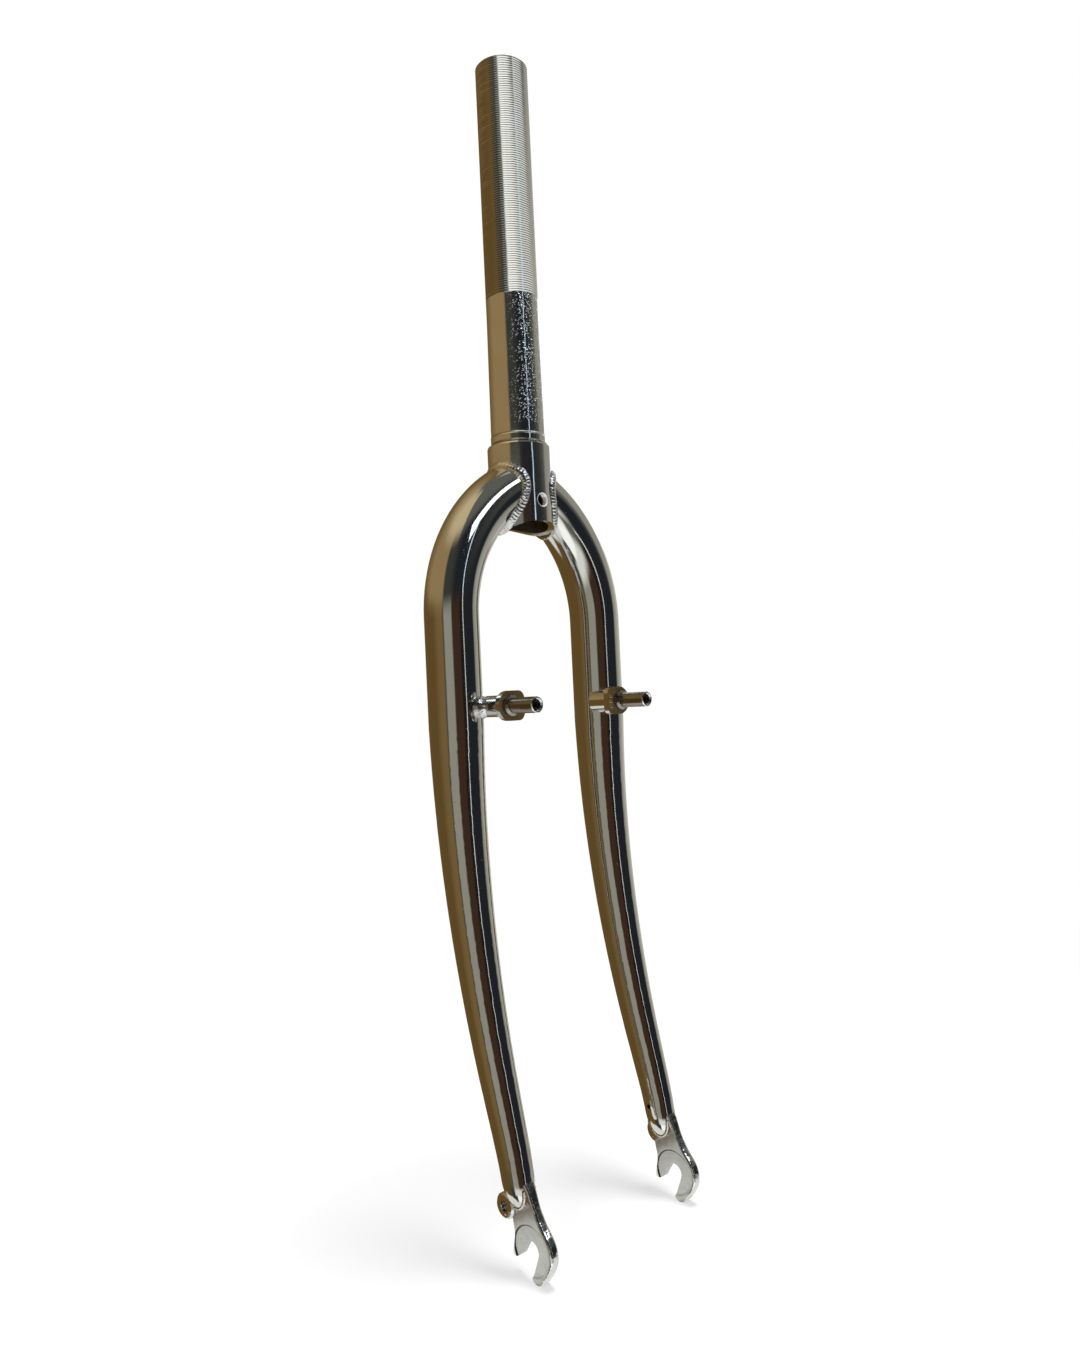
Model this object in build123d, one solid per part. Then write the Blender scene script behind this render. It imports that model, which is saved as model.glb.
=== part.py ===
# Rigid bicycle fork: 1-1/8 inch threadless steerer, welded bent blades, cantilever brake bosses, hook dropouts.
# Millimetres. +Z runs up the steerer axis, -Y is forward, +X is the rider's left.
# The origin lies on the steerer axis at the shoulder where the crown race sits.
import os
from math import acos, cos, pi, radians, sin, sqrt
from build123d import *

# Steerer tube, one turned tube swelling to a crown section
STEERER_RADIUS = 14.3
STEERER_TOP = 209.0
STEERER_BORE = 12.7
TOP_CHAMFER = 0.5
SWELL_TOP = 68.0
SEAT_RADIUS = 15.0
SEAT_HEIGHT = 5.5
SEAT_STEP = 0.2
SWELL_BOTTOM = SEAT_HEIGHT + 4.5
SEAT_GROOVE_DEPTH = 0.25
SEAT_GROOVE_HEIGHT = 0.8
CROWN_RADIUS = 17.2
CROWN_ROUND = 1.2
CROWN_BORE = 14.0
CROWN_BORE_TOP = -10.0
BORE_CONE_TOP = -2.0
ARCH_TOP = -42.4
ARCH_RADIUS = 33.0
BRAKE_HOLE_Z = -31.6
BRAKE_HOLE_RADIUS = 3.1
BRAKE_HOLE_CHAMFER = 0.5

# Blades
BLADE_RADIUS = 14.0
BLADE_WALL = 1.2
BLADE_OUTSET = 2.2
BLADE_Y = -0.5
BEND_RADIUS = 78.2
BEND_BOTTOM = -94.3
BEND_START_X = 6.0
TAPER_TOP = -150.0
RAKE_TOP = -160.0
RAKE_RADIUS = 640.0
RAKE_ANGLE = 14.0
TIP_STRAIGHT = 51.7
TIP_RADIUS = 7.9
RAKE_SECTIONS = 6
NOSE_LENGTH = 13.7
VENT_RADIUS = 1.2
VENT_ABOVE_TIP = 4.0

# Wheel axle and dropouts; outline points are (forward, up) from the axle
TIP_BEHIND_AXLE = 10.1
TIP_ABOVE_AXLE = 30.0
HUB_WIDTH = 100.0
RECESS_DEPTH = 0.6
RECESS_FLOOR_RADIUS = 11.0
RECESS_RIM_RADIUS = 12.0
PLATE_THICKNESS = 5.6
EDGE_ROUND = 1.8
SLOT_WIDTH = 9.5
SLOT_LEAN = 22.0
FRONT_LOBE = 11.5
NECK_BELOW_TIP = 2.0
NECK_FRONT_MARGIN = 0.3
NECK_REAR_MARGIN = 0.3
FRONT_OUTLINE = (
    (0.9, 24.5), (2.6, 20.5), (4.8, 16.5), (7.4, 12.6), (10.3, 9.2), (12.5, 6.0),
    (13.6, 2.5), (13.7, -1.5), (12.2, -5.8), (9.5, -10.0))
FRONT_TIP = (6.6, -12.9)
FRONT_TIP_ROUND = (3.2, -14.3)
REAR_MOUTH = (-8.4, -4.4)
REAR_TIP = (-13.5, -3.2)
REAR_TIP_ROUND = (-11.2, -5.7)
REAR_OUTLINE = ((-12.6, 1.0), (-12.0, 5.5), (-12.7, 9.5), (-13.6, 14.5), (-15.3, 20.5))
RAMP_POINT = (-5.1, 14.9)
RAMP_LEAN = 30.5
RAMP_RISE = 0.06
EYELET_POINT = (-14.9, 17.0)
EYELET_RADIUS = 6.1
EYELET_INNER = 4.0
EYELET_PROUD = 2.6
EYELET_CHAMFER = 0.9
EYELET_HOLE_RADIUS = 2.5
EYELET_RELIEF = 0.25

# Brake bosses, distances forward of the steerer axis
BOSS_INSET = 12.2
BOSS_Z = -140.0
BOSS_BACK = 10.0
BOSS_RADIUS = 5.4
FLANGE_BACK = 25.5
FLANGE_THICKNESS = 3.0
FLANGE_RADIUS = 7.5
TAB_REACH = 9.6
TAB_CORNER = 4.0
SPRING_HOLE_RADIUS = 1.1
SPRING_HOLE_CIRCLE = 7.4
SPRING_HOLE_ANGLES = (18.0, -5.0, -28.0)
COLLAR_RADIUS = 5.2
COLLAR_LENGTH = 2.1
COLLAR_CONE = 1.0
POST_RADIUS = 4.0
POST_END = 48.3
POST_CHAMFER = 0.4
THREAD_RADIUS = 2.55
THREAD_DEPTH = 18.0
THREAD_MOUTH = 3.3

# Weld and braze beads
CROWN_BEAD = 2.7
BOSS_BEAD = 2.4
BRAZE_BEAD = 0.9
CROWN_BEAD_POINTS = 28
BOSS_BEAD_POINTS = 13
BRAZE_BEAD_POINTS = 15
BRAZE_START = 0.12

# Values that follow from those above
PLATE_INNER = HUB_WIDTH / 2 - RECESS_DEPTH
PLATE_OUTER = PLATE_INNER + PLATE_THICKNESS
PLATE_MIDDLE = (PLATE_INNER + PLATE_OUTER) / 2
BLADE_X = HUB_WIDTH / 2 + BLADE_OUTSET
BOSS_X = BLADE_X - BOSS_INSET
BEND_CENTRE_X = BLADE_X - BEND_RADIUS
RAKE_END_Y = BLADE_Y - RAKE_RADIUS * (1 - cos(radians(RAKE_ANGLE)))
RAKE_END_Z = RAKE_TOP - RAKE_RADIUS * sin(radians(RAKE_ANGLE))
TIP_DIRECTION = (0.0, -sin(radians(RAKE_ANGLE)), -cos(radians(RAKE_ANGLE)))
TIP_Y = RAKE_END_Y + TIP_STRAIGHT * TIP_DIRECTION[1]
TIP_Z = RAKE_END_Z + TIP_STRAIGHT * TIP_DIRECTION[2]
AXLE_Y = TIP_Y - TIP_BEHIND_AXLE
AXLE_Z = TIP_Z - TIP_ABOVE_AXLE


def turned(profile):
    """Solid of revolution about Z from (radius, height) corners."""
    outline = Polyline([(r, 0, h) for r, h in profile], close=True)
    return revolve(make_face(outline), Axis.Z, 360)


def disc(origin, direction, radius):
    """Round section across a blade."""
    return Plane(origin=origin, x_dir=(1, 0, 0), z_dir=direction) * Circle(radius)


def bead(points, radius, closed):
    """Round rod along a smooth curve through the points; a closed curve is swept in two halves."""
    path = Edge.make_spline([Vector(*p) for p in points], periodic=closed)
    spans = [path.trim(0, 0.5), path.trim(0.5, 1)] if closed else [path]
    rod = Part()
    for span in spans:
        start = Plane(origin=span @ 0, z_dir=span % 0)
        rod += sweep(start * Circle(radius), path=span)
    return rod


# Steerer tube
steerer = turned([
    (STEERER_BORE, STEERER_TOP),
    (STEERER_RADIUS - TOP_CHAMFER, STEERER_TOP),
    (STEERER_RADIUS, STEERER_TOP - TOP_CHAMFER),
    (STEERER_RADIUS, SWELL_TOP),
    (SEAT_RADIUS - SEAT_STEP, SWELL_BOTTOM),
    (SEAT_RADIUS - SEAT_STEP, SEAT_HEIGHT),
    (SEAT_RADIUS, SEAT_HEIGHT - SEAT_STEP),
    (SEAT_RADIUS, SEAT_GROOVE_HEIGHT),
    (SEAT_RADIUS - SEAT_GROOVE_DEPTH, SEAT_GROOVE_HEIGHT),
    (SEAT_RADIUS - SEAT_GROOVE_DEPTH, 0),
    (CROWN_RADIUS - CROWN_ROUND, 0),
    (CROWN_RADIUS - CROWN_ROUND * 0.3, -CROWN_ROUND * 0.3),
    (CROWN_RADIUS, -CROWN_ROUND),
    (CROWN_RADIUS, ARCH_TOP - ARCH_RADIUS),
    (CROWN_BORE, ARCH_TOP - ARCH_RADIUS),
    (CROWN_BORE, CROWN_BORE_TOP),
    (STEERER_BORE, BORE_CONE_TOP),
])
across = Plane(origin=(0, 0, ARCH_TOP - ARCH_RADIUS), x_dir=(1, 0, 0), z_dir=(0, -1, 0))
steerer -= across * Cylinder(ARCH_RADIUS, 4 * CROWN_RADIUS)

# Brake bolt hole through the front and rear walls, with a broken edge on the outside
hole_plane = Plane(origin=(0, 0, BRAKE_HOLE_Z), x_dir=(1, 0, 0), z_dir=(0, -1, 0))
steerer -= hole_plane * Cylinder(BRAKE_HOLE_RADIUS, 4 * CROWN_RADIUS)
mouth = BRAKE_HOLE_RADIUS + BRAKE_HOLE_CHAMFER
mouth_depth = CROWN_RADIUS - sqrt(CROWN_RADIUS ** 2 - mouth ** 2) + BRAKE_HOLE_CHAMFER
mouth_cone = turned([
    (0, CROWN_RADIUS - mouth_depth),
    (BRAKE_HOLE_RADIUS, CROWN_RADIUS - mouth_depth),
    (mouth, CROWN_RADIUS - mouth_depth + BRAKE_HOLE_CHAMFER),
    (mouth, CROWN_RADIUS + 1),
    (0, CROWN_RADIUS + 1),
])
steerer -= hole_plane * mouth_cone
steerer -= Rot(0, 0, 180) * (hole_plane * mouth_cone)

# Left dropout plate, drawn from its outer face inward
face = Plane(origin=(PLATE_OUTER, AXLE_Y, AXLE_Z), x_dir=(0, -1, 0), z_dir=(-1, 0, 0))
lean_s = sin(radians(SLOT_LEAN))
lean_c = cos(radians(SLOT_LEAN))
half_slot = SLOT_WIDTH / 2


def slot_point(across_slot, down_slot):
    """Point in the plate from distances across and down the leaning slot."""
    return (across_slot * lean_c - down_slot * lean_s, -across_slot * lean_s - down_slot * lean_c)


def blade_point(across_blade, down_blade):
    """Point in the plate from distances across and down the blade tip."""
    s = sin(radians(RAKE_ANGLE))
    c = cos(radians(RAKE_ANGLE))
    forward = -TIP_BEHIND_AXLE + across_blade * c + down_blade * s
    return (forward, TIP_ABOVE_AXLE + across_blade * s - down_blade * c)


top_front = blade_point(TIP_RADIUS + NECK_FRONT_MARGIN, NECK_BELOW_TIP)
top_rear = blade_point(-TIP_RADIUS - NECK_REAR_MARGIN, NECK_BELOW_TIP)
front_edge = Spline(top_front, *FRONT_OUTLINE, FRONT_TIP)
front_end = ThreePointArc(FRONT_TIP, FRONT_TIP_ROUND, slot_point(half_slot, FRONT_LOBE))
front_wall = Line(slot_point(half_slot, FRONT_LOBE), slot_point(half_slot, 0))
slot_end = ThreePointArc(slot_point(half_slot, 0), slot_point(0, -half_slot), slot_point(-half_slot, 0))
rear_wall = Line(slot_point(-half_slot, 0), REAR_MOUTH)
rear_end = ThreePointArc(REAR_MOUTH, REAR_TIP_ROUND, REAR_TIP)
rear_edge = Spline(REAR_TIP, *REAR_OUTLINE, top_rear)
top_edge = Line(top_rear, top_front)
outline = make_face([
    front_edge, front_end, front_wall, slot_end, rear_wall, rear_end, rear_edge, top_edge])

# Even thickness below a sloping line, growing slowly on both sides above it
ramp_x = (0.0, -cos(radians(RAMP_LEAN)), sin(radians(RAMP_LEAN)))
ramp_up = (0.0, sin(radians(RAMP_LEAN)), cos(radians(RAMP_LEAN)))
ramp_origin = (PLATE_MIDDLE, AXLE_Y - RAMP_POINT[0], AXLE_Z + RAMP_POINT[1])
ramp_plane = Plane(origin=ramp_origin, x_dir=(1, 0, 0), z_dir=ramp_x)
half_plate = PLATE_THICKNESS / 2
ramp_reach = 2 * TIP_ABOVE_AXLE
ramp_gain = RAMP_RISE * ramp_reach
up_sign = 1 if ramp_plane.y_dir.Z > 0 else -1
profile = Polyline([
    (half_plate, -up_sign * ramp_reach),
    (half_plate, 0),
    (half_plate + ramp_gain, up_sign * ramp_reach),
    (-half_plate - ramp_gain, up_sign * ramp_reach),
    (-half_plate, 0),
    (-half_plate, -up_sign * ramp_reach),
], close=True)
bar = extrude(ramp_plane * make_face(profile), ramp_reach, both=True)
wide_face = Plane(origin=(PLATE_OUTER + ramp_gain, AXLE_Y, AXLE_Z), x_dir=(0, -1, 0), z_dir=(-1, 0, 0))
slab = extrude(wide_face * outline, PLATE_THICKNESS + 2 * ramp_gain) & bar

# Long front and rear edges rounded
rims = [f for f in slab.faces() if f.geom_type == GeomType.EXTRUSION]
rim_edges = [e for f in rims for e in f.edges() if abs(e.tangent_at(0.5).X) < 0.5]
dropout = fillet(rim_edges, EDGE_ROUND)

# Recessed axle seats on both faces
seat_cone = turned([
    (0, 0),
    (RECESS_FLOOR_RADIUS, 0),
    (RECESS_RIM_RADIUS, RECESS_DEPTH),
    (RECESS_RIM_RADIUS + 1, RECESS_DEPTH + 1),
    (0, RECESS_DEPTH + 1),
])
outer_seat = Plane(origin=(PLATE_OUTER - RECESS_DEPTH, AXLE_Y, AXLE_Z), x_dir=(0, -1, 0), z_dir=(1, 0, 0))
inner_seat = Plane(origin=(PLATE_INNER + RECESS_DEPTH, AXLE_Y, AXLE_Z), x_dir=(0, -1, 0), z_dir=(-1, 0, 0))
dropout -= outer_seat * seat_cone
dropout -= inner_seat * seat_cone

# Mudguard eyelet standing out from the rear of the plate, with the plate's edge cut back behind its hole
eyelet_x = PLATE_INNER + EYELET_INNER
eyelet_plane = Plane(
    origin=(eyelet_x, AXLE_Y - EYELET_POINT[0], AXLE_Z + EYELET_POINT[1]), x_dir=(0, -1, 0), z_dir=(1, 0, 0))
eyelet_length = PLATE_OUTER + EYELET_PROUD - eyelet_x
eyelet = turned([
    (0, 0),
    (EYELET_RADIUS, 0),
    (EYELET_RADIUS, eyelet_length - EYELET_CHAMFER),
    (EYELET_RADIUS - EYELET_CHAMFER, eyelet_length),
    (0, eyelet_length),
])
dropout += eyelet_plane * eyelet
eyelet_cut = eyelet_plane * turned([
    (0, eyelet_length + 1),
    (EYELET_HOLE_RADIUS, eyelet_length + 1),
    (EYELET_HOLE_RADIUS, 0),
    (EYELET_HOLE_RADIUS + EYELET_RELIEF, 0),
    (EYELET_HOLE_RADIUS + EYELET_RELIEF, -2 * PLATE_THICKNESS),
    (0, -2 * PLATE_THICKNESS),
])
dropout -= eyelet_cut


def blade_body(inset):
    """Left blade filled solid, with its radius reduced by the inset."""
    top = BLADE_RADIUS - inset
    tip = TIP_RADIUS - inset
    start = acos((BEND_START_X - BEND_CENTRE_X) / BEND_RADIUS)

    def on_bend(angle):
        return (BEND_CENTRE_X + BEND_RADIUS * cos(angle), BLADE_Y, BEND_BOTTOM + BEND_RADIUS * sin(angle))

    bend_path = ThreePointArc(on_bend(start), on_bend(start / 2), on_bend(0))
    body = sweep(disc(on_bend(start), (sin(start), 0, -cos(start)), top), path=bend_path)
    straight = BEND_BOTTOM - TAPER_TOP
    body += Pos(BLADE_X, BLADE_Y, BEND_BOTTOM - straight / 2) * Cylinder(top, straight)

    # Tapered length, by sections from the top of the taper down the rake to the tip
    before = TAPER_TOP - RAKE_TOP
    length = before + RAKE_RADIUS * radians(RAKE_ANGLE) + TIP_STRAIGHT
    sections = [disc((BLADE_X, BLADE_Y, TAPER_TOP), (0, 0, -1), top)]
    for i in range(RAKE_SECTIONS + 1):
        a = radians(RAKE_ANGLE) * i / RAKE_SECTIONS
        y = BLADE_Y - RAKE_RADIUS * (1 - cos(a))
        z = RAKE_TOP - RAKE_RADIUS * sin(a)
        radius = top + (tip - top) * (before + RAKE_RADIUS * a) / length
        sections.append(disc((BLADE_X, y, z), (0, -sin(a), -cos(a)), radius))
    tip_centre = (BLADE_X, TIP_Y, TIP_Z)
    sections.append(disc(tip_centre, TIP_DIRECTION, tip))
    body += loft(sections)

    # Domed nose closing the tip
    nose = NOSE_LENGTH - inset
    quarter = [(tip * cos(t), 0, nose * sin(t)) for t in [pi / 2 * i / 8 for i in range(9)]]
    nose_edges = [
        Spline(quarter, tangents=[(0, 0, 1), (-1, 0, 0)]),
        Line(quarter[-1], (0, 0, 0)),
        Line((0, 0, 0), quarter[0]),
    ]
    dome = revolve(make_face(nose_edges), Axis.Z, 360)
    body += Plane(origin=tip_centre, x_dir=(1, 0, 0), z_dir=TIP_DIRECTION) * dome
    return body


crown_core = Cylinder(CROWN_RADIUS, 8 * CROWN_RADIUS)
blade_solid = blade_body(0)
blade = blade_solid - blade_body(BLADE_WALL) - crown_core - dropout - eyelet_cut
vent = Plane(origin=(BLADE_X, TIP_Y, TIP_Z), x_dir=(1, 0, 0), z_dir=TIP_DIRECTION)
vent = vent * (Pos(0, 0, -VENT_ABOVE_TIP) * Rot(0, -90, 0))
blade -= vent * Cylinder(VENT_RADIUS, 2 * TIP_RADIUS, align=(Align.CENTER, Align.CENTER, Align.MIN))

# Left brake boss: turned body, spring plate with three holes, threaded post
boss_plane = Plane(origin=(BOSS_X, 0, BOSS_Z), x_dir=(1, 0, 0), z_dir=(0, -1, 0))
flange_front = FLANGE_BACK + FLANGE_THICKNESS
collar_front = flange_front + COLLAR_LENGTH
boss = boss_plane * turned([
    (0, BOSS_BACK),
    (BOSS_RADIUS, BOSS_BACK),
    (BOSS_RADIUS, FLANGE_BACK),
    (FLANGE_RADIUS, FLANGE_BACK),
    (FLANGE_RADIUS, flange_front),
    (COLLAR_RADIUS, flange_front),
    (COLLAR_RADIUS, collar_front),
    (POST_RADIUS, collar_front + COLLAR_CONE),
    (POST_RADIUS, POST_END - POST_CHAMFER),
    (POST_RADIUS - POST_CHAMFER, POST_END),
    (0, POST_END),
])
tab = Pos(-TAB_REACH / 2, 0) * Rectangle(TAB_REACH, 2 * FLANGE_RADIUS)
tab = fillet(tab.vertices().sort_by(Axis.X)[:2], TAB_CORNER)
tab_plane = Plane(origin=(BOSS_X, -FLANGE_BACK, BOSS_Z), x_dir=(1, 0, 0), z_dir=(0, -1, 0))
boss += extrude(tab_plane * tab, FLANGE_THICKNESS)
for angle in SPRING_HOLE_ANGLES:
    turn = radians(180 - angle)
    spot = Pos(SPRING_HOLE_CIRCLE * cos(turn), SPRING_HOLE_CIRCLE * sin(turn), 0)
    boss -= tab_plane * (spot * Cylinder(SPRING_HOLE_RADIUS, 4 * FLANGE_THICKNESS))
boss -= boss_plane * turned([
    (0, POST_END - THREAD_DEPTH),
    (THREAD_RADIUS, POST_END - THREAD_DEPTH),
    (THREAD_RADIUS, POST_END - (THREAD_MOUTH - THREAD_RADIUS)),
    (THREAD_MOUTH, POST_END),
    (THREAD_MOUTH, POST_END + 1),
    (0, POST_END + 1),
])
boss -= blade_solid

# Weld bead where the left blade meets the steerer
crown_points = []
for i in range(CROWN_BEAD_POINTS):
    turn = 2 * pi * i / CROWN_BEAD_POINTS
    y = BLADE_Y + BLADE_RADIUS * sin(turn)
    x = sqrt(CROWN_RADIUS ** 2 - y ** 2)
    reach = BEND_RADIUS + BLADE_RADIUS * cos(turn)
    height = sqrt(reach ** 2 - (x - BEND_CENTRE_X) ** 2)
    crown_points.append((x, y, BEND_BOTTOM + height))
crown_weld = bead(crown_points, CROWN_BEAD, True) - crown_core - blade_solid

# Weld bead where the left brake boss meets the blade
contact_x = BLADE_X - sqrt(BLADE_RADIUS ** 2 - (BOSS_BACK + BLADE_Y) ** 2)
contact_turn = acos((contact_x - BOSS_X) / BOSS_RADIUS)
boss_points = []
for i in range(BOSS_BEAD_POINTS):
    turn = contact_turn * (1 - 2 * i / (BOSS_BEAD_POINTS - 1))
    x = BOSS_X + BOSS_RADIUS * cos(turn)
    y = BLADE_Y - sqrt(BLADE_RADIUS ** 2 - (BLADE_X - x) ** 2)
    boss_points.append((x, y, BOSS_Z + BOSS_RADIUS * sin(turn)))
boss_bead = bead(boss_points, BOSS_BEAD, False)
boss_bead += Pos(*boss_points[0]) * Sphere(BOSS_BEAD)
boss_bead += Pos(*boss_points[-1]) * Sphere(BOSS_BEAD)
boss_core = boss_plane * Cylinder(BOSS_RADIUS, FLANGE_BACK, align=(Align.CENTER, Align.CENTER, Align.MIN))
boss_weld = boss_bead - boss_core - blade_solid


def braze(side):
    """Braze fillet round the nose on one face of the left dropout; side is 1 outside, -1 inside."""
    points = []
    for i in range(BRAZE_BEAD_POINTS):
        t = pi * (BRAZE_START + (1 - 2 * BRAZE_START) * i / (BRAZE_BEAD_POINTS - 1))
        offset = half_plate
        for _ in range(8):
            k = sqrt(1 - ((PLATE_MIDDLE - BLADE_X + side * offset) / TIP_RADIUS) ** 2)
            f, u = blade_point(k * TIP_RADIUS * cos(t), k * NOSE_LENGTH * sin(t))
            above = (u - RAMP_POINT[1]) * ramp_up[2] - (f - RAMP_POINT[0]) * ramp_up[1]
            offset = half_plate + RAMP_RISE * max(above, 0)
        points.append((PLATE_MIDDLE + side * offset, AXLE_Y - f, AXLE_Z + u))
    fillet_rod = bead(points, BRAZE_BEAD, False) - blade_solid - dropout - eyelet_cut
    return fillet_rod.solids().sort_by(SortBy.VOLUME)[-1]


left_parts = {
    "blade": blade,
    "dropout": dropout,
    "brake_boss": boss,
    "crown_weld": crown_weld,
    "boss_weld": boss_weld,
    "outer_braze": braze(1),
    "inner_braze": braze(-1),
}

os.makedirs("parts", exist_ok=True)
export_step(steerer, "parts/steerer_tube.step")
for name, shape in left_parts.items():
    export_step(shape, "parts/left_" + name + ".step")
    export_step(mirror(shape, about=Plane.YZ), "parts/right_" + name + ".step")
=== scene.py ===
import math
import bmesh
import bpy
from mathutils import Matrix, Vector, noise


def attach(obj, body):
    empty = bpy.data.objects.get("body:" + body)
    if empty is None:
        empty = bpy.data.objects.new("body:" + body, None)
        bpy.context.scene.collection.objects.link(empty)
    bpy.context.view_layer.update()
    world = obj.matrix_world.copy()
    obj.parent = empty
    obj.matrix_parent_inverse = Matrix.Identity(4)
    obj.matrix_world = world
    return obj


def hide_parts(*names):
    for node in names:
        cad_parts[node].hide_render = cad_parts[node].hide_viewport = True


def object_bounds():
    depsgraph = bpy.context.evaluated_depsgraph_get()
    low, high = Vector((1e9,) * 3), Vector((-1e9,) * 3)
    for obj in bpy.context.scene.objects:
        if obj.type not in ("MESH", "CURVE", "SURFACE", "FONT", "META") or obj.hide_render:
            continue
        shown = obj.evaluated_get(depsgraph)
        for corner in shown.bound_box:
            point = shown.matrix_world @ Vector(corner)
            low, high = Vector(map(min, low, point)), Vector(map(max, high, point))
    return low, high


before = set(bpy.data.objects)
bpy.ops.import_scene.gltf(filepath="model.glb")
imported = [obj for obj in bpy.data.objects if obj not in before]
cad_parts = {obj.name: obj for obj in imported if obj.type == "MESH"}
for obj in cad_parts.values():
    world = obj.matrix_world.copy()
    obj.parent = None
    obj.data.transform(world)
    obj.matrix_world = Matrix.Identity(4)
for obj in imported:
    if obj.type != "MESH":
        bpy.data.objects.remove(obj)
cad_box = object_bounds()
MM = 0.001

# Sizes shared with the part, in millimetres, and leans in radians
CROWN_RADIUS = 17.2
CROWN_BORE = 14.0
SWELL_BOTTOM = 10.0
BRAKE_HOLE_Z = -31.6
BRAKE_HOLE_RADIUS = 3.1
BLADE_RADIUS = 14.0
BLADE_X = 52.2
BLADE_Y = -0.5
BEND_RADIUS = 78.2
BEND_BOTTOM = -94.3
BEND_CENTRE_X = BLADE_X - BEND_RADIUS
BOSS_X = 40.0
BOSS_Z = -140.0
BOSS_BACK = 10.0
BOSS_RADIUS = 5.4
FLANGE_FRONT = 28.5
POST_END = 48.3
THREAD_RADIUS = 2.55
AXLE_Y = -42.12
AXLE_Z = -394.99
SLOT_WIDTH = 9.5
SLOT_LEAN = math.radians(22.0)
RECESS_FLOOR_RADIUS = 11.0
RECESS_RIM_RADIUS = 12.0
RAMP_POINT = (-5.1, 14.9)
RAMP_LEAN = math.radians(30.5)
EYELET_SPOT = (53.4, -27.22, -377.99)
EYELET_LENGTH = 4.2
EYELET_HOLE_RADIUS = 2.5
CROWN_BEAD = 2.7
BOSS_BEAD = 2.4

# Where the finishes change on the steerer and the dropouts, in millimetres; those on the dropouts are
# measured forward of the axle, above it or across its slot
TURNED_FROM = 80.6
FEED_PITCH = 1.25
SEAT_LINES = (0.9, 5.0)
SEAT_LINE_WIDTH = 0.7
EYELET_EDGE = -11.6
SLOT_WALL = SLOT_WIDTH / 2 + 1.85
SLOT_TOP = 7.0
SLOT_BOTTOM = -11.5
WORN_MOUTH = BRAKE_HOLE_RADIUS + 0.35

# How far the lathe's feed marks lean down, and how much less at their crests
FLANK_LEAN = 0.84
CREST_LEAN = 0.62


def tint(red, green, blue):
    """Colour from its 0 to 255 screen values."""
    linear = []
    for part in (red, green, blue):
        part = part / 255
        linear.append(part / 12.92 if part <= 0.04045 else ((part + 0.055) / 1.055) ** 2.4)
    return (*linear, 1.0)


class Signal:
    """An output in a node tree; sums on it add Math nodes."""

    def __init__(self, finish, socket):
        self.finish = finish
        self.socket = socket

    def calculate(self, operation, *values):
        return self.finish.node("ShaderNodeMath", {"operation": operation}, dict(enumerate(values)))

    def __add__(self, other):
        return self.calculate("ADD", self, other)

    def __radd__(self, other):
        return self.calculate("ADD", other, self)

    def __sub__(self, other):
        return self.calculate("SUBTRACT", self, other)

    def __rsub__(self, other):
        return self.calculate("SUBTRACT", other, self)

    def __mul__(self, other):
        return self.calculate("MULTIPLY", self, other)

    def __rmul__(self, other):
        return self.calculate("MULTIPLY", other, self)

    def __truediv__(self, other):
        return self.calculate("DIVIDE", self, other)

    def __rtruediv__(self, other):
        return self.calculate("DIVIDE", other, self)

    def __pow__(self, other):
        return self.calculate("POWER", self, other)

    def __abs__(self):
        return self.calculate("ABSOLUTE", self)

    def larger(self, other):
        return self.calculate("MAXIMUM", self, other)

    def fraction(self):
        """What is left after the whole number, so that it repeats from 0 to 1."""
        return self.calculate("FRACT", self)

    def smooth(self, low, high):
        """Eased step from 0 at low to 1 at high, which may be the smaller of the two."""
        settings = {"interpolation_type": "SMOOTHSTEP"}
        ends = {"Value": self, "From Min": low, "From Max": high, "To Min": 0.0, "To Max": 1.0}
        if low > high:
            ends = {"Value": self, "From Min": high, "From Max": low, "To Min": 1.0, "To Max": 0.0}
        return self.finish.node("ShaderNodeMapRange", settings, ends)


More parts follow.
